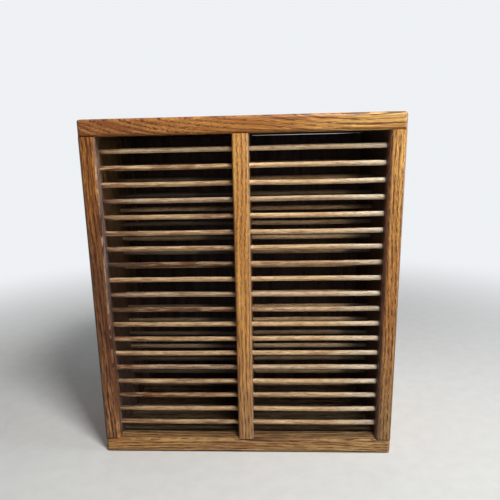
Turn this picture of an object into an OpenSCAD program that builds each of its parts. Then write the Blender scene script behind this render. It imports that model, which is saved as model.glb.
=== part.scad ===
// Two-bay disc case rack in oak: five boards, a back panel and two rows of
// thin rods that each disc case rests on. The front faces -Y, the origin is the
// middle of the underside, and all sizes are millimetres.

/* [Slots] */
// Clear width of one bay
slot_w = 128.5; // [110:0.5:200]
// Clear height between two rods, one above the other
slot_h = 11.2; // [8:0.1:30]
// Slots in each bay
slots_per_bay = 20; // [8:1:27]

/* [Boards] */
// Depth of the rack from its front edges to its back
case_d = 152.4; // [100:0.1:220]
// Thickness of the top and bottom boards
shelf_t = 16; // [12:0.5:25]
// Thickness of the two sides
side_t = 16; // [13:0.5:25]
// Thickness of the divider between the bays
divider_t = 16; // [12:0.5:25]
// Radius of the rounded front edges
edge_r = 3; // [1:0.5:4]
// Radius of the outer corners of the top and bottom boards
corner_r = 4; // [1:0.5:5]

/* [Rods] */
// Diameter of a rod
rod_d = 4.8; // [3:0.1:9]
// Front edge of the boards to the centre of the front rods
front_rod_inset = 12.7; // [10:0.1:25]
// Centre of the front rods to the centre of the rear rods
rod_row_spacing = 60.3; // [30:0.1:80]
// Depth of the blind socket that takes a rod's end in each side
socket_depth = 8; // [4:0.5:9]
// Free space behind each rod's end in its socket
rod_end_gap = 0.5; // [0.2:0.1:1]
// Diameter of a rod hole over the diameter of its rod
rod_fit = 0.1; // [0.05:0.05:0.4]

/* [Back panel] */
// Thickness of the back panel
back_t = 3.2; // [2:0.1:6]
// Width of the rabbet that holds the panel in each side
rabbet_w = 8; // [6:0.5:10]
// Free space between the panel's edge and the rabbet's wall
panel_side_gap = 0.4; // [0.1:0.1:1]
// Open gap between the panel and the top board
panel_top_gap = 1.2; // [0.4:0.1:6]

/* [Joint pins] */
// Diameter of the wooden pins that join the boards
pin_d = 8; // [5:0.5:8]
// Length of a pin
pin_len = 30; // [20:1:40]
// Depth of a pin in the top or bottom board
pin_in_shelf = 9; // [6:0.5:10]
// Diameter of a pin hole over the diameter of its pin
pin_fit = 0.1; // [0.05:0.05:0.4]
// Free space past each end of a pin
pin_end_gap = 0.5; // [0.2:0.1:1]

/* [Brads] */
// Brads in each of the three rows that hold the back panel
brads_per_row = 6; // [3:1:10]
// Length of a brad, head included
brad_len = 16; // [10:1:20]
// Diameter of a brad's shank
brad_d = 1.2; // [0.8:0.1:2]
// Diameter of a brad's head
brad_head_d = 2.4; // [2.2:0.1:4]
// Thickness of a brad's head
brad_head_t = 0.6; // [0.4:0.1:1.5]
// Diameter of a brad hole over the diameter of its brad
brad_fit = 0.06; // [0.02:0.02:0.2]
// Distance of the end brads from the top and bottom boards
brad_end_inset = 24; // [12:1:40]

/* [Hidden] */
$fn = 48;
eps = 0.01;

rod_count = slots_per_bay - 1;
rod_pitch = slot_h + rod_d;
bay_h = slots_per_bay * slot_h + rod_count * rod_d;
case_w = 2 * slot_w + divider_t + 2 * side_t;
case_h = bay_h + 2 * shelf_t;

front_y = -case_d / 2;
back_y = case_d / 2;
panel_y = back_y - back_t;
inner_x = case_w / 2 - side_t;
bay_top = case_h - shelf_t;

front_rod_y = front_y + front_rod_inset;
rear_rod_y = front_rod_y + rod_row_spacing;
rod_half = inner_x + socket_depth - rod_end_gap;

// One pin midway between the rows of rods, one midway between the rear rods
// and the back panel.
pin_ys = [(front_rod_y + rear_rod_y) / 2, (rear_rod_y + panel_y) / 2];
pin_xs = [-case_w / 2 + side_t / 2, 0, case_w / 2 - side_t / 2];
brad_xs = [-inner_x - rabbet_w / 2, 0, inner_x + rabbet_w / 2];
brad_span = bay_h - 2 * brad_end_inset;
brad_zs = [for (i = [0 : brads_per_row - 1]) shelf_t + brad_end_inset + i * brad_span / (brads_per_row - 1)];

function two_digits(i) = i < 10 ? str("0", i) : str(i);
function rod_name(row, i) = str(row, "_rod_", two_digits(i));
function rod_z(i) = bay_top - i * rod_pitch + rod_d / 2;

// Section of a board: depth along X from the front edge, thickness along Y.
module board_section(depth, thickness) {
    translate([edge_r, 0]) square([depth - edge_r, thickness]);
    translate([0, edge_r]) square([depth, thickness - 2 * edge_r]);
    for (y = [edge_r, thickness - edge_r]) translate([edge_r, y]) circle(edge_r);
}

// Rectangle centred on X with its two corners on the +Y side rounded.
module round_topped(width, height) {
    translate([-width / 2, 0]) square([width, height - corner_r]);
    translate([-width / 2 + corner_r, 0]) square([width - 2 * corner_r, height]);
    for (side = [-1, 1]) translate([side * (width / 2 - corner_r), height - corner_r]) circle(corner_r);
}

// Upright board with its front edges rounded, centred on X.
module upright(thickness, depth, z0, height) {
    translate([thickness / 2, front_y, z0]) rotate([0, 0, 90])
        linear_extrude(height) board_section(depth, thickness);
}

// Full-width board with rounded front edges, ends and outer corners. Its
// outer face is up.
module shelf_blank() {
    intersection() {
        translate([-case_w / 2, front_y, 0]) rotate([90, 0, 90])
            linear_extrude(case_w) board_section(case_d, shelf_t);
        translate([0, back_y, 0]) rotate([90, 0, 0])
            linear_extrude(case_d) round_topped(case_w, shelf_t);
        translate([0, back_y, 0]) rotate([180, 0, 0]) translate([0, 0, -shelf_t])
            linear_extrude(shelf_t) round_topped(case_w, case_d);
    }
}

// Every place where a pin crosses a joint, at the joint plane z = 0.
module at_pins(xs) {
    for (x = xs, y = pin_ys) translate([x, y, 0]) children();
}

// Holes for the pins on both sides of the joint plane z = 0, shelf above it.
module pin_holes(xs) {
    at_pins(xs) translate([0, 0, -(pin_len - pin_in_shelf) - pin_end_gap])
        cylinder(d = pin_d + pin_fit, h = pin_len + 2 * pin_end_gap);
}

module pin_row() {
    at_pins(pin_xs) translate([0, 0, -(pin_len - pin_in_shelf)]) cylinder(d = pin_d, h = pin_len);
}

// The top board's underside, and the mirrored bottom board's upper face.
module at_top_joint() { translate([0, 0, bay_top]) children(); }
module at_bottom_joint() { translate([0, 0, shelf_t]) mirror([0, 0, 1]) children(); }

module joint_holes(xs) {
    at_top_joint() pin_holes(xs);
    at_bottom_joint() pin_holes(xs);
}

module along_x(x0, y, z) { translate([x0, y, z]) rotate([0, 90, 0]) children(); }

// Holes for both rows of rods between two x positions.
module rod_holes(x0, x1) {
    for (i = [1 : rod_count], y = [front_rod_y, rear_rod_y])
        along_x(x0, y, rod_z(i)) cylinder(d = rod_d + rod_fit, h = x1 - x0);
}

// One brad, driven forwards from the back face, with extra on its diameters.
module brad(extra) {
    rotate([90, 0, 0]) {
        cylinder(d = brad_d + extra, h = brad_len + extra);
        cylinder(d = brad_head_d + extra, h = brad_head_t);
    }
}

module brads(xs, extra) {
    for (x = xs, z = brad_zs) translate([x, back_y, z]) brad(extra);
}

module top_board() {
    color("peru") difference() {
        at_top_joint() shelf_blank();
        at_top_joint() pin_holes(pin_xs);
    }
}

module bottom_board() {
    color("peru") difference() {
        at_bottom_joint() shelf_blank();
        at_bottom_joint() pin_holes(pin_xs);
    }
}

// The right-hand side, with its inner face towards -X.
module side_board() {
    difference() {
        translate([case_w / 2 - side_t / 2, 0, 0]) upright(side_t, case_d, shelf_t, bay_h);
        translate([inner_x - eps, panel_y, shelf_t - eps])
            cube([rabbet_w + eps, back_t + eps, bay_h + 2 * eps]);
        rod_holes(inner_x - eps, inner_x + socket_depth);
        joint_holes([pin_xs[2]]);
        brads([brad_xs[2]], brad_fit);
    }
}

module right_side() { color("sienna") side_board(); }
module left_side() { color("sienna") mirror([1, 0, 0]) side_board(); }

module centre_divider() {
    color("chocolate") difference() {
        upright(divider_t, case_d - back_t, shelf_t, bay_h);
        rod_holes(-divider_t / 2 - eps, divider_t / 2 + eps);
        joint_holes([pin_xs[1]]);
        brads([brad_xs[1]], brad_fit);
    }
}

module back_panel() {
    panel_w = 2 * (inner_x + rabbet_w - panel_side_gap);
    color("saddlebrown") difference() {
        translate([-panel_w / 2, panel_y, shelf_t]) cube([panel_w, back_t, bay_h - panel_top_gap]);
        brads(brad_xs, brad_fit);
    }
}

// One rod, from socket to socket through the divider.
module rod(y, i) {
    color("burlywood") along_x(-rod_half, y, rod_z(i)) cylinder(d = rod_d, h = 2 * rod_half);
}

module joint_pins() {
    color("wheat") {
        at_top_joint() pin_row();
        at_bottom_joint() pin_row();
    }
}

module back_panel_brads() { color("silver") brads(brad_xs, 0); }

top_board();
bottom_board();
left_side();
right_side();
centre_divider();
back_panel();
for (i = [1 : rod_count]) {
    rod(front_rod_y, i);
    rod(rear_rod_y, i);
}
joint_pins();
back_panel_brads();
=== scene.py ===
"""Looks of the two-bay disc case rack: oiled oak boards, a dark back panel and two rows of pale rods."""

import math
import random
from collections import namedtuple

import bmesh
import bpy
from mathutils import Matrix, Vector, noise


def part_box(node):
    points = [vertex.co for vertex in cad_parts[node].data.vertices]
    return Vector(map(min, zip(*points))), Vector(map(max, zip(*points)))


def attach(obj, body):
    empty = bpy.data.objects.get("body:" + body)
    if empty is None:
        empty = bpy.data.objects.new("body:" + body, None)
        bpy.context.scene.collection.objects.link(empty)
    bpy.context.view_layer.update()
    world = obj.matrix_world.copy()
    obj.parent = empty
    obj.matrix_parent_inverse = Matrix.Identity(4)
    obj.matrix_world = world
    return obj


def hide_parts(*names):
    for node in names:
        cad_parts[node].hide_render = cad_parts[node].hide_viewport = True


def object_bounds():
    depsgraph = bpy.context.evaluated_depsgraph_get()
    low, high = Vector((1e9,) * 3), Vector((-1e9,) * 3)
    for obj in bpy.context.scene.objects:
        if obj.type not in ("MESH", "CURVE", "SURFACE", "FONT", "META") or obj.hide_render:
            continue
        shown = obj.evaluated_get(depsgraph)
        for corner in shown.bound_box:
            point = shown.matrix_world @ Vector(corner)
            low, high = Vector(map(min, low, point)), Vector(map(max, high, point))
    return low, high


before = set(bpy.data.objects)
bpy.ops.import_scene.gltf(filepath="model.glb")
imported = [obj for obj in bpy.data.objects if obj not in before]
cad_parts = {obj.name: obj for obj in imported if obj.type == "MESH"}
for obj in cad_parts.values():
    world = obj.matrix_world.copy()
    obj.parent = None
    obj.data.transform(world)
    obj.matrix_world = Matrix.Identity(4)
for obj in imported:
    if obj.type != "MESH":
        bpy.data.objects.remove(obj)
cad_low, cad_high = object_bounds()

MM = 0.001
BODY = "root"

# ---------------------------------------------------------------------------
# Camera. Angles are in radians: the view is turned a little to the left and
# down, and leans a little anticlockwise.
# ---------------------------------------------------------------------------
EYE = Vector((0.0223, -0.5737, 0.3224))
TURN_LEFT = 0.0554
LOOK_DOWN = 0.2521
LEAN = -0.0237
LENS_MM = 37.61
SENSOR_MM = 36.0
SHIFT = (0.0252, 0.0557)
CLIP = (0.01, 50.0)


def make_camera():
    """The view of the photograph. The shift is there because the photograph is a crop of a larger picture."""
    data = bpy.data.cameras.new("camera")
    data.lens = LENS_MM
    data.sensor_width = SENSOR_MM
    data.shift_x, data.shift_y = SHIFT
    data.clip_start, data.clip_end = CLIP
    camera = bpy.data.objects.new("camera", data)
    camera.matrix_world = (
        Matrix.Translation(EYE)
        @ Matrix.Rotation(TURN_LEFT, 4, "Z")
        @ Matrix.Rotation(math.pi / 2 - LOOK_DOWN, 4, "X")
        @ Matrix.Rotation(LEAN, 4, "Z")
    )
    bpy.context.scene.collection.objects.link(camera)
    bpy.context.scene.camera = camera


# ---------------------------------------------------------------------------
# Node helpers
# ---------------------------------------------------------------------------
class Graph:
    """A material's node tree, with one short call for each kind of node."""

    def __init__(self, name):
        self.material = bpy.data.materials.new(name)
        self.material.use_nodes = True
        self.tree = self.material.node_tree
        self.tree.nodes.clear()
        self.output = self.tree.nodes.new("ShaderNodeOutputMaterial")

    def set(self, socket, value):
        if isinstance(value, bpy.types.NodeSocket):
            self.tree.links.new(value, socket)
        elif value is not None:
            socket.default_value = value

    def add(self, kind, inputs=None, **settings):
        node = self.tree.nodes.new(kind)
        for key, value in settings.items():
            setattr(node, key, value)
        for key, value in (inputs or {}).items():
            self.set(node.inputs[key], value)
        return node

    def math(self, operation, a, b=None, c=None, clamp=False):
        inputs = {i: v for i, v in enumerate((a, b, c)) if v is not None}
        return self.add("ShaderNodeMath", inputs, operation=operation, use_clamp=clamp).outputs[0]

    def vector(self, operation, a, b):
        return self.add("ShaderNodeVectorMath", {0: a, 1: b}, operation=operation).outputs[0]

    def coords(self):
        return self.add("ShaderNodeTexCoord").outputs["Object"]

    def split(self, vector):
        return self.add("ShaderNodeSeparateXYZ", {0: vector}).outputs

    def join(self, x, y, z):
        return self.add("ShaderNodeCombineXYZ", {0: x, 1: y, 2: z}).outputs[0]

    def noise(self, vector, scale, detail=2.0, roughness=0.5):
        """Noise from 0 to 1, with a scale in periods per metre for each axis."""
        scaled = self.vector("MULTIPLY", vector, scale)
        inputs = {"Vector": scaled, "Scale": 1.0, "Detail": detail, "Roughness": roughness}
        return self.add("ShaderNodeTexNoise", inputs).outputs["Fac"]

    def step(self, value, low, high, to_low=0.0, to_high=1.0):
        """A smooth step from to_low, where the value is low, to to_high, where it is high."""
        inputs = {"Value": value, "From Min": low, "From Max": high, "To Min": to_low, "To Max": to_high}
        return self.add("ShaderNodeMapRange", inputs, interpolation_type="SMOOTHSTEP").outputs[0]

    def centred(self, value, size):
        """A value from 0 to 1, spread from minus half the size to plus half the size."""
        return self.math("MULTIPLY_ADD", value, size, -size / 2)

    def blend(self, factor, a, b, mode="MIX"):
        node = self.add("ShaderNodeMix", data_type="RGBA", blend_type=mode)
        self.set(node.inputs["Factor"], factor)
        self.set(node.inputs["A"], a if isinstance(a, bpy.types.NodeSocket) else (*a, 1.0))
        self.set(node.inputs["B"], b if isinstance(b, bpy.types.NodeSocket) else (*b, 1.0))
        return node.outputs["Result"]

    def tint(self, colour, by):
        """A colour multiplied by another one."""
        return self.blend(1.0, colour, by, "MULTIPLY")

    def bump(self, height, distance):
        inputs = {"Height": height, "Distance": distance, "Strength": 1.0}
        return self.add("ShaderNodeBump", inputs).outputs[0]

    def finish(self, **inputs):
        """Joins the inputs to a Principled shader. An underscore in a name stands for a space."""
        shader = self.add("ShaderNodeBsdfPrincipled")
        for key, value in inputs.items():
            self.set(shader.inputs[key.replace("_", " ")], value)
        self.set(self.output.inputs["Surface"], shader.outputs[0])
        return self.material


# ---------------------------------------------------------------------------
# Faces of the boards, from the frame
# ---------------------------------------------------------------------------
# The axis that a face looks along, which way it looks, and its place on that axis.
Face = namedtuple("Face", "axis direction place")

OUTER_LEFT = Face("X", -1, cad_low.x)
OUTER_RIGHT = Face("X", 1, cad_high.x)
UNDERSIDE = Face("Z", -1, cad_low.z)
TOP_INNER = Face("Z", -1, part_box("top_board")[0].z)
BOTTOM_INNER = Face("Z", 1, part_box("bottom_board")[1].z)
SIDE_FOOT = Face("Z", -1, BOTTOM_INNER.place)
LEFT_INNER = Face("X", 1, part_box("left_side")[1].x)
RIGHT_INNER = Face("X", -1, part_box("right_side")[0].x)
DIVIDER_LEFT = Face("X", -1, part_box("centre_divider")[0].x)
DIVIDER_RIGHT = Face("X", 1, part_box("centre_divider")[1].x)


def reach_to(g, face, near, far):
    """0 until far short of the face, and 1 from near short of it on."""
    value = g.math("MULTIPLY", g.split(g.coords())["XYZ".index(face.axis)], face.direction)
    level = face.direction * face.place
    return g.step(value, level - far, level - near)


def behind_front(g, start, end):
    """A smooth step from 0 at start to 1 at end, both measured backwards from the front of the rack."""
    y = g.split(g.coords())["Y"]
    return g.step(y, cad_low.y + start, cad_low.y + end)


# ---------------------------------------------------------------------------
# Oak. The grain is a solid pattern: rings round a pith that lies outside the
# board, with rows of open pores that follow the rings.
# ---------------------------------------------------------------------------
OAK_LIGHT = (0.74, 0.42, 0.140)
OAK_MID = (0.42, 0.170, 0.045)
OAK_PORE = (0.105, 0.034, 0.010)
# The colour of the painted highlight on rounded front edges next to a bay.
OAK_SHEEN = (0.42, 0.31, 0.21)
RING_GAP = 2.6 * MM
# How far the rings wander along the board, and how uneven they are close up.
WANDER = 16 * MM
RIPPLE = 2.2 * MM
# The early wood of a ring sets in and fades out between these shares of the ring's width.
EARLY_RISE = (0.0, 0.14)
EARLY_FALL = (0.70, 0.26)
# Noise values between which long pores, fine pores, darker bands and clouds set in.
DASH_EDGES = (0.43, 0.53)
HAIR_EDGES = (0.50, 0.60)
BAND_EDGES = (0.42, 0.58)
CLOUD_EDGES = (0.40, 0.72)
# How much the early wood, the clouds, the fine pores and the painted edge highlight change the colour.
EARLY_SHARE = 0.5
CLOUD_SHARE = 0.40
HAIR_SHARE = 0.45
SHEEN_SHARE = 0.75
PORE_RELIEF = 0.12 * MM
# The painted shade inside the bays starts this close to a face, and is full from there on.
BAY_SHADE_SOFT = 0.4 * MM
BAY_SHADE_FULL = 0.1 * MM
# A rounded front edge's painted highlight lies between these distances from an inner face and behind the
# front.
SHEEN_SIDE = (0.6 * MM, 2.4 * MM)
SHEEN_FRONT = (12 * MM, 4 * MM)
BOARD_SPAN = {"X": (cad_low.x, cad_high.x), "Z": (cad_low.z, cad_high.z)}

# A darker edge: its face, how far it reaches in from there, its tint, and how far behind the front it goes
# on, which is None for an edge as long as the board is deep.
Edge = namedtuple("Edge", "face reach tint depth")
# Painted shade on the front of the far left rounded edge, which is turned away from the lamps.
SHADED_LEFT_RIM = Edge(OUTER_LEFT, 2.8 * MM, (0.10, 0.08, 0.07), 8 * MM)
DARK_RIGHT_RIM = Edge(OUTER_RIGHT, 1.6 * MM, (0.42, 0.36, 0.33), 8 * MM)
FOOT_LINE = Edge(SIDE_FOOT, 0.8 * MM, (0.40, 0.38, 0.36), None)


def grain_frame(g, along):
    """(across, thick, along) coordinates of a board whose grain runs along that axis."""
    x, y, z = g.split(g.coords())
    return (y, z, x) if along == "X" else (x, y, z)


def bay_shade_mask(g, faces, start, ramp):
    """1 on the board's faces inside the bays, where the painted shade goes. It sets in at start behind the
    front of the rack and is full a ramp further back."""
    total = reach_to(g, faces[0], BAY_SHADE_FULL, BAY_SHADE_SOFT)
    for face in faces[1:]:
        total = g.math("MAXIMUM", total, reach_to(g, face, BAY_SHADE_FULL, BAY_SHADE_SOFT))
    return g.math("MULTIPLY", total, behind_front(g, start, start + ramp))


def painted_sheen_mask(g, face, fade):
    """1 on the rounded front edge next to an inner face, where the painted highlight goes. A fade is two
    heights between which it sets in.
    """
    mask = g.math("MULTIPLY", reach_to(g, face, *SHEEN_SIDE), behind_front(g, *SHEEN_FRONT))
    if fade:
        z = g.split(g.coords())["Z"]
        mask = g.math("MULTIPLY", mask, g.step(z, *fade))
    return mask


def edge_mask(g, edge):
    """1 at an edge's face, fading out at its reach and behind its depth."""
    mask = reach_to(g, edge.face, 0.25 * edge.reach, edge.reach)
    if edge.depth is not None:
        mask = g.math("MULTIPLY", mask, behind_front(g, edge.depth, 0.5 * edge.depth))
    return mask


def ring_level(g, across, thick, length, place, pith, tilt, sweep, sweep_from):
    """Distance from the pith, uneven as in real wood, plus how far the rings run out along the board."""
    wander = g.centred(g.noise(place, (9, 9, 3.0), 2), WANDER)
    ripple = g.centred(g.noise(place, (60, 60, 20), 3, 0.6), RIPPLE)
    from_pith = g.join(g.math("SUBTRACT", across, pith[0]), g.math("SUBTRACT", thick, pith[1]), 0.0)
    radius = g.add("ShaderNodeVectorMath", {0: from_pith}, operation="LENGTH").outputs["Value"]
    shifted = g.math("SUBTRACT", length, sweep_from)
    bend = g.math("MULTIPLY", g.math("MULTIPLY", shifted, shifted), sweep)
    run_out = g.math("MULTIPLY_ADD", length, tilt, bend)
    return g.math("ADD", g.math("ADD", radius, run_out), g.math("ADD", wander, ripple))


def pores(g, fibre, stroke, early):
    """Rows of dark pores along the fibre. stroke is their width and length."""
    across_scale, along_scale = 1 / stroke[0], 1 / stroke[1]
    dashes = g.noise(fibre, (across_scale, 0.5 * across_scale, along_scale), 2, 0.6)
    hairs = g.noise(fibre, (1.8 * across_scale, 0.9 * across_scale, 1.8 * along_scale), 2, 0.55)
    rows = g.math("MULTIPLY", g.step(dashes, *DASH_EDGES), g.math("MULTIPLY_ADD", early, 0.50, 0.50))
    return g.math("MAXIMUM", rows, g.math("MULTIPLY", g.step(hairs, *HAIR_EDGES), HAIR_SHARE))


def board_pores(g, fibre, length, strokes, early, low, high):
    """The pores of a board from its low end to its high end, where the strokes may differ."""
    pore = pores(g, fibre, strokes[0], early)
    if len(strokes) == 1:
        return pore
    share = g.step(length, 0.7 * low + 0.3 * high, 0.3 * low + 0.7 * high)
    first = g.math("MULTIPLY", pore, g.math("SUBTRACT", 1.0, share))
    return g.math("MULTIPLY_ADD", pores(g, fibre, strokes[1], early), share, first)


def plain_oak(g, place, fibre, early, streaks):
    """The colour between the pores, with bands along the fibre and soft clouds."""
    bands = g.noise(fibre, (480, 90, 9), 3, 0.6)
    cloud = g.noise(place, (26, 26, 6), 3, 0.6)
    tone = g.blend(g.math("MULTIPLY", early, EARLY_SHARE), OAK_LIGHT, OAK_MID)
    tone = g.blend(g.step(bands, *BAND_EDGES, 0.0, streaks), tone, OAK_MID)
    return g.blend(g.step(cloud, *CLOUD_EDGES, 0.0, CLOUD_SHARE), tone, OAK_MID)


def oak(name, along, pith, tints, strokes, inner, stain, seed, tilt=0.0, sweep=0.0, sweep_from=0.0,
        depth=1.0, streaks=0.7, shade_start=3 * MM, shade_ramp=7 * MM, sheen_face=None, sheen_fade=None, edges=(),
        coat=0.35):
    """Oiled oak. pith is the pith's place across and through the board. tints are the wood's tones at the
    low end, the middle and the high end of the board's length. strokes are the pores' (width, length) at the
    low end and, when there are two, at the high end; depth is how dark the pores are and streaks how strong
    the darker bands are. inner are the faces inside the bays, stain is their tint, which is painted
    shade, and shade_start and shade_ramp say how far behind the front it sets in. tilt and sweep make the
    rings run out of the board's edge along its length. sheen_face is an inner face whose rounded front edge
    gets a painted highlight, which sheen_fade limits to the upper part. edges are darker ones, most of them
    painted shade, and coat is how strong the clear finish is."""
    g = Graph(name)
    low, high = BOARD_SPAN[along]
    middle = (low + high) / 2
    across, thick, length = grain_frame(g, along)
    place = g.vector("ADD", g.join(across, thick, length), (seed, 1.7 * seed, 0.6 * seed))
    level = ring_level(g, across, thick, length, place, pith, tilt, sweep, sweep_from)
    ring = g.math("FRACT", g.math("DIVIDE", level, RING_GAP))
    early = g.math("MULTIPLY", g.step(ring, *EARLY_RISE), g.step(ring, *EARLY_FALL))
    fibre = g.join(g.math("ADD", level, seed), g.math("SUBTRACT", across, thick), length)
    pore = board_pores(g, fibre, length, strokes, early, low, high)

    shade = g.blend(g.step(length, low, middle), tints[0], tints[1])
    shade = g.blend(g.step(length, middle, high), shade, tints[2])
    tone = g.tint(plain_oak(g, place, fibre, early, streaks), shade)
    # Painted highlight on the rounded front edge next to a bay.
    if sheen_face:
        tone = g.blend(g.math("MULTIPLY", painted_sheen_mask(g, sheen_face, sheen_fade), SHEEN_SHARE), tone, OAK_SHEEN)
    dark = g.tint(shade, OAK_PORE)
    colour = g.blend(g.math("MULTIPLY", pore, depth, clamp=True), tone, dark)
    for edge in edges:
        colour = g.blend(edge_mask(g, edge), colour, g.tint(colour, edge.tint))
    # Painted shade on the faces inside the bays, growing darker behind the front.
    colour = g.blend(bay_shade_mask(g, inner, shade_start, shade_ramp), colour, g.tint(colour, stain))

    relief = g.math("SUBTRACT", g.math("MULTIPLY", early, -0.25), pore)
    roughness = g.math("MULTIPLY_ADD", pore, 0.25, 0.36)
    return g.finish(Base_Color=colour, Roughness=roughness, Normal=g.bump(relief, PORE_RELIEF),
                    Specular_IOR_Level=0.15, Coat_Weight=coat, Coat_Roughness=0.33)


def top_oak():
    """Reddish at the left end and yellow at the right, with the rings sweeping across the board."""
    return oak(
        "oak_top", "X", pith=(0.02, 0.255), seed=3.1, sweep=-0.36, sweep_from=0.12,
        tints=((0.66, 0.47, 0.33), (0.92, 0.76, 0.50), (1.28, 1.38, 1.28)),
        strokes=((0.45 * MM, 4.0 * MM), (0.62 * MM, 30 * MM)), streaks=0.85,
        # Painted shade under the top, inside the bays.
        inner=[TOP_INNER], stain=(0.16, 0.17, 0.22),
        edges=[SHADED_LEFT_RIM, DARK_RIGHT_RIM],
    )


def bottom_oak():
    """Greyer and duller than the top, with painted shade fading in over a long way into the bays."""
    return oak(
        "oak_bottom", "X", pith=(0.01, -0.11), seed=8.4, tilt=0.01,
        tints=((1.16, 1.24, 1.38), (0.89, 0.96, 1.15), (1.04, 1.19, 1.49)),
        strokes=((0.8 * MM, 20 * MM),),
        # Painted shade on the floor of the bays, full 24 mm behind the front.
        inner=[BOTTOM_INNER], stain=(0.44, 0.57, 0.88), shade_start=0.0, shade_ramp=24 * MM,
        edges=[
            SHADED_LEFT_RIM,
            # Painted contact shadow along the lower front edge.
            Edge(UNDERSIDE, 3.0 * MM, (0.42, 0.44, 0.48), None),
            # Painted shade over the top face and its rounded front edge.
            Edge(BOTTOM_INNER, 3.0 * MM, (0.72, 0.75, 0.80), None),
        ],
        coat=0.08,
    )


def left_oak():
    """The darkest board, with coarse dark strokes and a painted highlight on its inner front edge higher up.
    """
    return oak(
        "oak_left", "Z", pith=(-0.235, 0.03), seed=1.9, tilt=0.012,
        tints=((0.68, 0.57, 0.60), (0.35, 0.23, 0.15), (0.86, 0.65, 0.33)),
        strokes=((1.15 * MM, 20 * MM), (0.8 * MM, 15 * MM)), depth=1.3, streaks=0.85,
        # Painted shade on the inner face, which also turns it greyer: less red, more green and much more
        # blue.
        inner=[LEFT_INNER], stain=(0.72, 1.20, 3.2),
        sheen_face=LEFT_INNER, sheen_fade=(0.07, 0.22),
        edges=[SHADED_LEFT_RIM, FOOT_LINE],
    )


def right_oak():
    """Yellow at the top and greyer at the foot, with painted shade on the rounded edge towards the bay."""
    return oak(
        "oak_right", "Z", pith=(0.24, 0.01), seed=5.6, tilt=-0.008,
        tints=((0.76, 0.83, 0.98), (0.90, 0.76, 0.56), (1.34, 1.40, 1.20)),
        strokes=((0.7 * MM, 8 * MM),), streaks=0.55,
        # Painted shade on the inner face.
        inner=[RIGHT_INNER], stain=(0.40, 0.50, 0.70),
        # The first edge is painted shade on the rounded edge towards the bay.
        edges=[Edge(RIGHT_INNER, 5.0 * MM, (0.24, 0.17, 0.25), None), FOOT_LINE, DARK_RIGHT_RIM],
    )


def divider_oak():
    """Light and fine grained, coarser at the foot; painted shade on the left front edge, a painted highlight
    on the right.
    """
    return oak(
        "oak_divider", "Z", pith=(0.09, 0.02), seed=12.3, tilt=0.006,
        tints=((0.80, 0.79, 0.92), (1.17, 1.06, 0.82), (1.22, 1.18, 1.0)),
        strokes=((0.95 * MM, 15 * MM), (0.5 * MM, 5 * MM)), depth=0.85, streaks=0.55,
        # Painted shade on both inner faces, fading in over 70 mm behind the front.
        inner=[DIVIDER_LEFT, DIVIDER_RIGHT], stain=(0.22, 0.28, 0.42), shade_ramp=70 * MM,
        sheen_face=DIVIDER_RIGHT,
        # Painted shade on the rounded left front edge.
        edges=[Edge(DIVIDER_LEFT, 1.8 * MM, (0.30, 0.24, 0.22), None)],
    )


# ---------------------------------------------------------------------------
# Other materials
# ---------------------------------------------------------------------------
ROD_PALE = (0.82, 0.59, 0.34)
ROD_TAN = (0.54, 0.33, 0.155)
ROD_STAIN = (0.17, 0.060, 0.022)
ROD_GREY = (0.42, 0.36, 0.29)
# Painted light: the colour that tip turns a front rod to, at its right end and, for the rod under the top,
# all along.
ROD_TIP = (0.90, 0.78, 0.60)
ROD_RUN = (0.115, 0.046, 0.022)
# The dark colour that dim blends a rod to: mostly painted shade, and a darker tone on the most stained front
# rods.
ROD_DIM = (0.026, 0.021, 0.017)
# What the points of a rod's mesh say about its look there: its stain, greyness, painted light and dimness,
# which is mostly painted shade.
ROD_VALUES = ("stain", "grey", "tip", "dim")


def rod_wood():
    """Pale rods. Each rod's mesh gives its stain, greyness, painted light and mostly painted shade along its
    length.
    """
    g = Graph("rod_wood")
    place = g.join(*grain_frame(g, "X"))
    stain, grey, tip, dim = (
        g.add("ShaderNodeAttribute", attribute_name=name).outputs["Fac"] for name in ROD_VALUES
    )
    streaks = g.noise(place, (800, 800, 40), 3, 0.6)
    dashes = g.noise(place, (1300, 1300, 150), 2, 0.6)
    cloud = g.noise(place, (140, 140, 45), 3, 0.6)
    blotch = g.step(g.noise(place, (380, 380, 45), 3, 0.6), 0.42, 0.58)
    runs = g.step(g.noise(place, (420, 420, 34), 3, 0.6), 0.51, 0.59)
    pore = g.step(dashes, 0.50, 0.64)

    tone = g.blend(g.step(streaks, 0.36, 0.64), ROD_PALE, ROD_TAN)
    tone = g.blend(g.step(cloud, 0.50, 0.72, 0.0, 0.40), tone, ROD_STAIN)
    tone = g.blend(grey, tone, ROD_GREY)
    # Painted light at the paler right ends and on the rod under the top.
    tone = g.blend(g.math("MULTIPLY", tip, 0.85), tone, ROD_TIP)
    taken = g.math("MULTIPLY", stain, g.math("MULTIPLY_ADD", blotch, 0.95, 0.45), clamp=True)
    tone = g.blend(taken, tone, ROD_STAIN)
    tone = g.blend(g.math("MULTIPLY", pore, 0.5), tone, ROD_STAIN)
    run_depth = g.math("MULTIPLY_ADD", stain, 1.5, 0.08, clamp=True)
    tone = g.blend(g.math("MULTIPLY", runs, run_depth), tone, ROD_RUN)
    # Mostly painted shade: the rear rods, the stretches before the uprights and the left ends.
    colour = g.blend(dim, tone, ROD_DIM)
    relief = g.math("SUBTRACT", g.math("MULTIPLY", streaks, 0.5), pore)
    return g.finish(Base_Color=colour, Roughness=g.math("MULTIPLY_ADD", pore, 0.15, 0.46),
                    Normal=g.bump(relief, 0.08 * MM), Specular_IOR_Level=0.2)


PANEL_LIGHT = (0.058, 0.030, 0.022)
PANEL_DARK = (0.012, 0.0065, 0.0055)
PANEL_OUTER_LIGHT = (0.150, 0.080, 0.045)
PANEL_OUTER_DARK = (0.090, 0.046, 0.026)
PANEL_PORE = (0.008, 0.004, 0.004)
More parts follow.
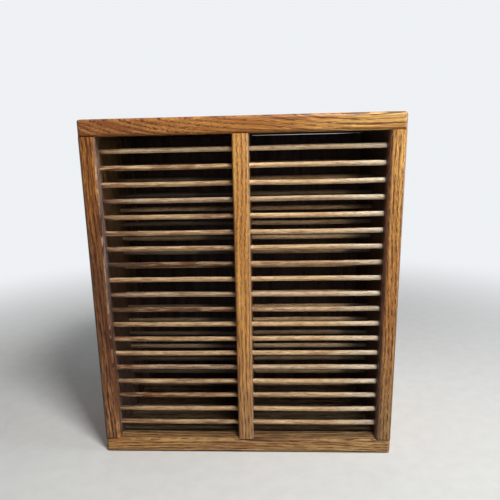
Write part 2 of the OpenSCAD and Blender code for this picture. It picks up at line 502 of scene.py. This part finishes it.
# The outer face's colours set in between these distances from that face.
PANEL_SKIN = (1.5 * MM, 0.5 * MM)


def panel_wood():
    """Dark stained veneer with the grain upright, a little lighter on the panel's outer face."""
    g = Graph("panel_wood")
    across, thick, length = grain_frame(g, "Z")
    place = g.join(across, thick, length)
    bands = g.step(g.noise(place, (55, 55, 3.5), 4, 0.62), 0.32, 0.70)
    pore = g.step(g.noise(place, (900, 900, 60), 2, 0.55), 0.52, 0.68)
    inner = g.blend(bands, PANEL_LIGHT, PANEL_DARK)
    outer = g.blend(bands, PANEL_OUTER_LIGHT, PANEL_OUTER_DARK)
    skin = g.step(thick, cad_high.y - PANEL_SKIN[0], cad_high.y - PANEL_SKIN[1])
    tone = g.blend(skin, inner, outer)
    colour = g.blend(g.math("MULTIPLY", pore, 0.65), tone, PANEL_PORE)
    return g.finish(Base_Color=colour, Roughness=g.math("MULTIPLY_ADD", pore, 0.2, 0.5),
                    Normal=g.bump(g.math("MULTIPLY", pore, -1.0), 0.1 * MM), Specular_IOR_Level=0.15)


def pin_wood():
    """Unfinished wood of the hidden joint pins."""
    g = Graph("pin_wood")
    fibre = g.noise(g.coords(), (900, 900, 60), 3, 0.6)
    colour = g.blend(g.step(fibre, 0.35, 0.7), (0.62, 0.45, 0.26), (0.48, 0.31, 0.16))
    return g.finish(Base_Color=colour, Roughness=g.math("MULTIPLY_ADD", fibre, 0.2, 0.55),
                    Normal=g.bump(fibre, 0.05 * MM))


def brad_steel():
    """Scuffed bright steel of the brads that hold the back panel."""
    g = Graph("brad_steel")
    scuff = g.noise(g.coords(), (1500, 1500, 1500), 3, 0.6)
    colour = g.blend(g.step(scuff, 0.4, 0.7), (0.55, 0.54, 0.52), (0.36, 0.33, 0.30))
    return g.finish(Base_Color=colour, Metallic=1.0, Roughness=g.math("MULTIPLY_ADD", scuff, 0.3, 0.25))


# ---------------------------------------------------------------------------
# Boards, pins and brads are the CAD's own nodes in new materials. Rods and the
# back panel are new pieces.
# ---------------------------------------------------------------------------
def dress(node, material):
    """Gives a CAD node its material."""
    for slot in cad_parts[node].material_slots:
        slot.material = material


def dress_cad_nodes():
    """Gives their materials to the nodes that are shown as the CAD made them."""
    dress("top_board", top_oak())
    dress("bottom_board", bottom_oak())
    dress("left_side", left_oak())
    dress("right_side", right_oak())
    dress("centre_divider", divider_oak())
    dress("joint_pins", pin_wood())
    dress("back_panel_brads", brad_steel())


def add_piece(name, mesh, material, node):
    """A Blender piece that stands for a CAD node."""
    mesh.materials.append(material)
    piece = bpy.data.objects.new(name, mesh)
    bpy.context.scene.collection.objects.link(piece)
    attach(piece, BODY)
    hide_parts(node)
    return piece


# ---------------------------------------------------------------------------
# Rods
# ---------------------------------------------------------------------------
ROD_COUNT = sum(node.startswith("front_rod_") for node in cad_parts)
ROD_SEED = 38
ROD_SIDES = 20
ROD_STEP = 4.5 * MM
ROD_BOW = 0.45 * MM
ROD_END_CHAMFER = 0.5 * MM
# How uneven a rod's radius is, and how often that and its stain change, per metre.
ROD_UNEVEN = 0.012
UNEVEN_SCALE = 40
STAIN_SCALE = 22
# How far the pale right end, which is painted light, the dark left end, partly stain and partly painted
# shade, and the painted shadows before the divider and before the right side reach along a rod.
PALE_END_LENGTH = 55 * MM
DARK_END_LENGTH = 38 * MM
SHADOW_LENGTHS = (48 * MM, 32 * MM)
MOST_DIM = 0.95

# How one rod looks. Pairs are for the left and the right bay: how much stain it took, how grey it is, how dim
# it is, mostly with painted shade, and how much dimmer the painted shadow of the next upright to its right
# makes it. left_stain and left_dim come on top at its left end, partly stain and partly painted
# shade; tip is how pale its right end is, and pale how much paler it is all along, both painted light.
RodLook = namedtuple("RodLook", "stain grey dim end_dim left_stain left_dim tip pale")
NOT_DIM = (0.0, 0.0)
REAR_UPRIGHT_SHADOW = (0.58, 0.85)
# The darker left ends of the rods: partly stain, partly painted shade.
USUAL_LEFT_STAIN_AND_SHADE = 0.36
DARK_LEFT_STAIN_AND_SHADE = 0.45
DARK_LEFT_DIM = 0.40
# The ranges that the stain and the greyness of a rod are drawn from, for the left and the right bay.
FRONT_STAINS = ((0.20, 0.42), (0.0, 0.12))
REAR_STAINS = ((0.02, 0.14), (0.0, 0.12))
GREYS = ((0.0, 0.15), (0.0, 0.12))
# The stain of a rod is this much of its level in its palest patch, and this much more in its darkest.
PATCH_LEAST = 0.45
PATCH_MORE = 1.1
# How steeply an upright's painted shadow dims a rear rod. It is as dim as it gets a little before it is
# there.
SHADOW_STEEPNESS = 1.6

# Front rods that took the stain deeper in the left bay, and how deep. In the right bay they took this share
# of it, and in the left bay they are dimmer by DEEP_DIM times what they are over the limit.
DEEP_STAIN = {8: 1.0, 11: 0.85, 17: 0.60}
DEEP_RIGHT_SHARE = 0.3
DEEP_DIM = 0.8
DEEP_DIM_LIMIT = 0.5
# The rods that are grey in both rows, and the front rod under the top, made paler with hardly any stain:
# painted light.
GREY_RODS = (4, 10, 15)
GREY_LEVELS = (0.5, 0.35)
LIT_ROD = 1
LIT_ROD_STAIN = (0.05, 0.0)
LIT_ROD_LEVEL = 0.2
# Front rods with a darker left end than the others, partly stain and partly painted shade.
DARK_LEFT_ENDS = (4, 5, 7, 8, 10, 11, 16, 17, 18)
# How much painted shade dims a rear rod in the left and in the right bay, where it isn't like the others.
REAR_LEFT_SHADE = {0.90: (6, 14, 16, 17), 0.80: (2, 4, 8, 12), 0.65: (3, 7, 13, 18), 0.10: (5,)}
REAR_RIGHT_SHADE = {0.70: (14, 16), 0.55: (2, 4, 8, 17), 0.30: (6, 12), 0.0: (5,)}
USUAL_REAR_LEFT_SHADE = 0.38
USUAL_REAR_RIGHT_SHADE = 0.05


def level_of(i, levels, usual):
    """The level that lists rod i, or else the usual one."""
    return next((level for level, rods in levels.items() if i in rods), usual)


def draw(rng, ranges):
    """One random value from each range."""
    return tuple(rng.uniform(*limits) for limits in ranges)


def rod_look(row, i, rng):
    """The look of one rod, with small seeded differences from its neighbours."""
    stain = draw(rng, FRONT_STAINS)
    grey = draw(rng, GREYS)
    if i in GREY_RODS:
        grey = GREY_LEVELS
    if row == "rear":
        stain = draw(rng, REAR_STAINS)
        dim = (level_of(i, REAR_LEFT_SHADE, USUAL_REAR_LEFT_SHADE), level_of(i, REAR_RIGHT_SHADE, USUAL_REAR_RIGHT_SHADE))
        return RodLook(stain, grey, dim, REAR_UPRIGHT_SHADOW, USUAL_LEFT_STAIN_AND_SHADE, left_dim=0.0, tip=0.0, pale=0.0)
    look = RodLook(stain, grey, NOT_DIM, NOT_DIM, USUAL_LEFT_STAIN_AND_SHADE, left_dim=0.0, tip=1.0, pale=0.0)
    if i in DARK_LEFT_ENDS:
        look = look._replace(left_stain=DARK_LEFT_STAIN_AND_SHADE, left_dim=DARK_LEFT_DIM)
    if i in DEEP_STAIN:
        deep = DEEP_STAIN[i]
        dim = DEEP_DIM * (deep - DEEP_DIM_LIMIT)
        look = look._replace(stain=(deep, DEEP_RIGHT_SHARE * deep), dim=(dim, 0.0))
    if i == LIT_ROD:
        look = look._replace(stain=LIT_ROD_STAIN, pale=LIT_ROD_LEVEL)
    return look


def rod_values(x, look, shift):
    """The stain, greyness, paleness and dimness of a rod at x, in the order of ROD_VALUES."""
    inner_half = -LEFT_INNER.place
    bay = 0 if x < 0 else 1
    next_upright = (DIVIDER_LEFT.place, inner_half)[bay]
    left_end = max(0.0, 1.0 - (x + inner_half) / DARK_END_LENGTH)
    right_end = min(1.0, 1.0 - (inner_half - x) / PALE_END_LENGTH)
    # The painted shadow of the next upright to the right.
    upright_shade = min(1.0, max(0.0, SHADOW_STEEPNESS * (1.0 - (next_upright - x) / SHADOW_LENGTHS[bay])))
    patch = noise.noise(Vector((x * STAIN_SCALE, shift, 0))) * 0.5 + 0.5
    stain = look.stain[bay] * (PATCH_LEAST + PATCH_MORE * patch) + look.left_stain * left_end
    dim = look.dim[bay] + look.end_dim[bay] * upright_shade + look.left_dim * left_end
    # Painted light: the paler right end, and the whole of the rod under the top.
    tip = max(look.pale * (1.0 - left_end), look.tip * right_end)
    return min(1.0, max(0.0, stain)), look.grey[bay], tip, min(MOST_DIM, dim)


def rod_offset(x, bows):
    """How far a rod bows up and back at x: nothing in the divider and in the sides, most in mid-bay."""
    divider_half = DIVIDER_RIGHT.place
    share = (abs(x) - divider_half) / (-LEFT_INNER.place - divider_half)
    if not 0.0 < share < 1.0:
        return 0.0, 0.0
    up, back = bows[0 if x < 0 else 1]
    hump = math.sin(math.pi * share)
    return up * hump, back * hump


def rod_stations(low, high):
    """Places along a rod where it has a ring of points: even steps, with a chamfer at each end."""
    count = round((high - low) / ROD_STEP)
    between = [low + (high - low) * i / count for i in range(1, count)]
    return [low, low + ROD_END_CHAMFER, *between, high - ROD_END_CHAMFER, high]


def rod_ring(bm, x, y, z, radius, shift):
    """A slightly uneven ring of points round a rod's middle line."""
    ring = []
    for k in range(ROD_SIDES):
        angle = 2 * math.pi * k / ROD_SIDES
        uneven = 1 + ROD_UNEVEN * noise.noise(Vector((x * UNEVEN_SCALE, shift, 2 * math.cos(angle))))
        r = radius * uneven
        ring.append(bm.verts.new((x, y + r * math.cos(angle), z + r * math.sin(angle))))
    return ring


def rod_mesh(name, low, high, bows, look, rng):
    """A long tube of rings, bowed a little in each bay."""
    centre = (low + high) / 2
    shift = rng.uniform(0, 50)
    bm = bmesh.new()
    layers = [bm.verts.layers.float.new(value) for value in ROD_VALUES]
    rings = []
    for x in rod_stations(low.x, high.x):
        up, back = rod_offset(x, bows)
        chamfer = ROD_END_CHAMFER if x in (low.x, high.x) else 0.0
        ring = rod_ring(bm, x, centre.y + back, centre.z + up, (high.z - low.z) / 2 - chamfer, shift)
        for layer, value in zip(layers, rod_values(x, look, shift)):
            for vert in ring:
                vert[layer] = value
        rings.append(ring)
    for a, b in zip(rings, rings[1:]):
        for k in range(ROD_SIDES):
            n = (k + 1) % ROD_SIDES
            bm.faces.new((a[k], b[k], b[n], a[n])).smooth = True
    bm.faces.new(rings[0])
    bm.faces.new(list(reversed(rings[-1])))
    bmesh.ops.recalc_face_normals(bm, faces=bm.faces)
    mesh = bpy.data.meshes.new(name)
    bm.to_mesh(mesh)
    bm.free()
    return mesh


def make_rods():
    """Both rows of rods, from the top down, with one generator for all their seeded differences."""
    material = rod_wood()
    rng = random.Random(ROD_SEED)
    for row in ("front", "rear"):
        for i in range(1, ROD_COUNT + 1):
            node = f"{row}_rod_{i:02d}"
            low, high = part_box(node)
            bows = [(rng.uniform(-ROD_BOW, ROD_BOW), rng.uniform(-ROD_BOW, ROD_BOW)) for _ in range(2)]
            look = rod_look(row, i, rng)
            mesh = rod_mesh(node + "_wood", low, high, bows, look, rng)
            add_piece(node + "_wood", mesh, material, node)


# ---------------------------------------------------------------------------
# Back panel
# ---------------------------------------------------------------------------
PANEL_COLUMN = 8 * MM
# The points this close to the panel's top are those of its top edge.
PANEL_EDGE_BAND = 0.1 * MM
# How far the panel's top edge stands above its drawn height: in the left bay, at the widest part of the gap
# over it, and at most.
RISE_LEFT = 1.18 * MM
RISE_LEAST = 0.86 * MM
RISE_MOST = 1.12 * MM
# Where that widest part is, and from where on the gap closes quickly, as shares of the way from the middle of
# the rack to the right side, and how fast it closes.
GAP_CENTRE = 0.58
GAP_CLOSES = 0.80
GAP_CURVE = 0.65 * MM
GAP_SLOPE = 1.5 * MM


def panel_rise(x):
    """How far the panel's hand-cut top edge stands above its drawn height, so that the gap over it is widest
    in the middle of the right bay and all but closed elsewhere."""
    share = x / RIGHT_INNER.place
    if share < 0.0:
        return RISE_LEFT
    more = GAP_CURVE * (share - GAP_CENTRE) ** 2 + GAP_SLOPE * max(0.0, share - GAP_CLOSES)
    return min(RISE_MOST, RISE_LEAST + more)


def make_back_panel():
    """The back panel with its brad holes, cut into columns so that its top edge can be out of square."""
    low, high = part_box("back_panel")
    count = round((high.x - low.x) / PANEL_COLUMN)
    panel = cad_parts["back_panel"]
    bm = bmesh.new()
    bm.from_mesh(panel.data)
    bm.transform(panel.matrix_world)
    for i in range(1, count):
        x = low.x + (high.x - low.x) * i / count
        parts = bm.verts[:] + bm.edges[:] + bm.faces[:]
        bmesh.ops.bisect_plane(bm, geom=parts, plane_co=(x, 0, 0), plane_no=(1, 0, 0))
    for vert in bm.verts:
        if vert.co.z > high.z - PANEL_EDGE_BAND:
            vert.co.z += panel_rise(vert.co.x)
    for face in bm.faces:
        face.smooth = False
    mesh = bpy.data.meshes.new("back_panel_wood")
    bm.to_mesh(mesh)
    bm.free()
    add_piece("back_panel_wood", mesh, panel_wood(), "back_panel")


# ---------------------------------------------------------------------------
# Studio
# ---------------------------------------------------------------------------
BACKDROP = (0.86, 0.88, 0.90)
FLOOR = (0.725, 0.74, 0.745)
FLOOR_RADIUS = 6.0
# The floor fades into the backdrop between these distances from the middle.
FLOOR_FADE = (0.35, 1.0)
FILL_COLOUR = (1.0, 0.98, 0.95)
FILL_STRENGTH = 0.07
SUN_TINT = (1.0, 0.975, 0.93)
SIDE_TINT = (0.93, 0.97, 1.0)
FRONT_TINT = (0.94, 0.97, 1.0)
WALL_TINT = (1.0, 0.97, 0.94)
NO_TINT = (1.0, 1.0, 1.0)
CLOTH_SHADE = 0.95


def seen_directly(tree):
    """1 for rays that show the background itself: from the camera, in a reflection or through glass."""
    path = tree.nodes.new("ShaderNodeLightPath")
    total = path.outputs["Is Camera Ray"]
    for name in ("Is Glossy Ray", "Is Transmission Ray"):
        larger = tree.nodes.new("ShaderNodeMath")
        larger.operation = "MAXIMUM"
        tree.links.new(total, larger.inputs[0])
        tree.links.new(path.outputs[name], larger.inputs[1])
        total = larger.outputs[0]
    return total


def make_world():
    """A weak even light, and the backdrop's colour for rays that show it."""
    world = bpy.data.worlds.new("studio")
    bpy.context.scene.world = world
    world.use_nodes = True
    tree = world.node_tree
    tree.nodes.clear()
    soft = tree.nodes.new("ShaderNodeBackground")
    soft.inputs["Color"].default_value = (*FILL_COLOUR, 1.0)
    soft.inputs["Strength"].default_value = FILL_STRENGTH
    shown = tree.nodes.new("ShaderNodeBackground")
    shown.inputs["Color"].default_value = (*BACKDROP, 1.0)
    mix = tree.nodes.new("ShaderNodeMixShader")
    output = tree.nodes.new("ShaderNodeOutputWorld")
    tree.links.new(seen_directly(tree), mix.inputs[0])
    tree.links.new(soft.outputs[0], mix.inputs[1])
    tree.links.new(shown.outputs[0], mix.inputs[2])
    tree.links.new(mix.outputs[0], output.inputs["Surface"])


def floor_cloth():
    """Pale cloth that turns into the backdrop far from the object."""
    g = Graph("floor")
    x, y, _ = g.split(g.coords())
    away = g.math("SQRT", g.math("ADD", g.math("MULTIPLY", x, x), g.math("MULTIPLY", y, y)))
    cloth = g.noise(g.coords(), (60, 60, 60), 4, 0.6)
    colour = g.blend(g.step(cloth, 0.3, 0.7), FLOOR, tuple(CLOTH_SHADE * c for c in FLOOR))
    surface = g.add("ShaderNodeBsdfPrincipled", {"Base Color": colour, "Roughness": 0.9})
    glow = g.add("ShaderNodeEmission", {"Color": (*BACKDROP, 1.0)})
    share = g.math("MULTIPLY", g.step(away, *FLOOR_FADE), seen_directly(g.tree))
    mix = g.add("ShaderNodeMixShader", {0: share, 1: surface.outputs[0], 2: glow.outputs[0]})
    g.set(g.output.inputs["Surface"], mix.outputs[0])
    return g.material


def make_floor():
    """A wide round floor under the object, which is scenery and not part of it."""
    bm = bmesh.new()
    bmesh.ops.create_circle(bm, cap_ends=True, segments=96, radius=FLOOR_RADIUS)
    mesh = bpy.data.meshes.new("floor")
    bm.to_mesh(mesh)
    bm.free()
    mesh.materials.append(floor_cloth())
    floor = bpy.data.objects.new("floor", mesh)
    floor.location.z = cad_low.z
    bpy.context.scene.collection.objects.link(floor)


def softbox(name, azimuth, elevation, distance, size, watts, tint):
    """An area lamp aimed at the object. Azimuth is from straight in front, to the right, in degrees."""
    target = (cad_low + cad_high) / 2
    a, e = math.radians(azimuth), math.radians(elevation)
    away = Vector((math.sin(a) * math.cos(e), -math.cos(a) * math.cos(e), math.sin(e)))
    data = bpy.data.lights.new(name, "AREA")
    data.shape = "RECTANGLE"
    data.size, data.size_y = size
    data.energy = watts
    data.color = tint
    lamp = bpy.data.objects.new(name, data)
    lamp.location = target + away * distance
    lamp.rotation_euler = (-away).to_track_quat("-Z", "Y").to_euler()
    bpy.context.scene.collection.objects.link(lamp)


def make_lamps():
    """A warm soft lamp high at the front right, a cooler one at the right, and weaker fills all round."""
    softbox("window", azimuth=23, elevation=56, distance=0.90, size=(0.20, 0.20), watts=7.6, tint=SUN_TINT)
    softbox("side_window", azimuth=82, elevation=12, distance=0.95, size=(0.30, 0.8), watts=4.6,
            tint=SIDE_TINT)
    softbox("front_fill", azimuth=26, elevation=14, distance=1.6, size=(0.8, 0.6), watts=1.4,
            tint=FRONT_TINT)
    softbox("left_wall", azimuth=250, elevation=45, distance=1.3, size=(0.9, 0.9), watts=1.2,
            tint=WALL_TINT)
    softbox("back_fill", azimuth=180, elevation=50, distance=1.4, size=(0.9, 0.9), watts=1.6, tint=NO_TINT)


make_camera()
dress_cad_nodes()
make_back_panel()
make_rods()
make_world()
make_floor()
make_lamps()
bpy.context.scene.view_settings.view_transform = "Standard"
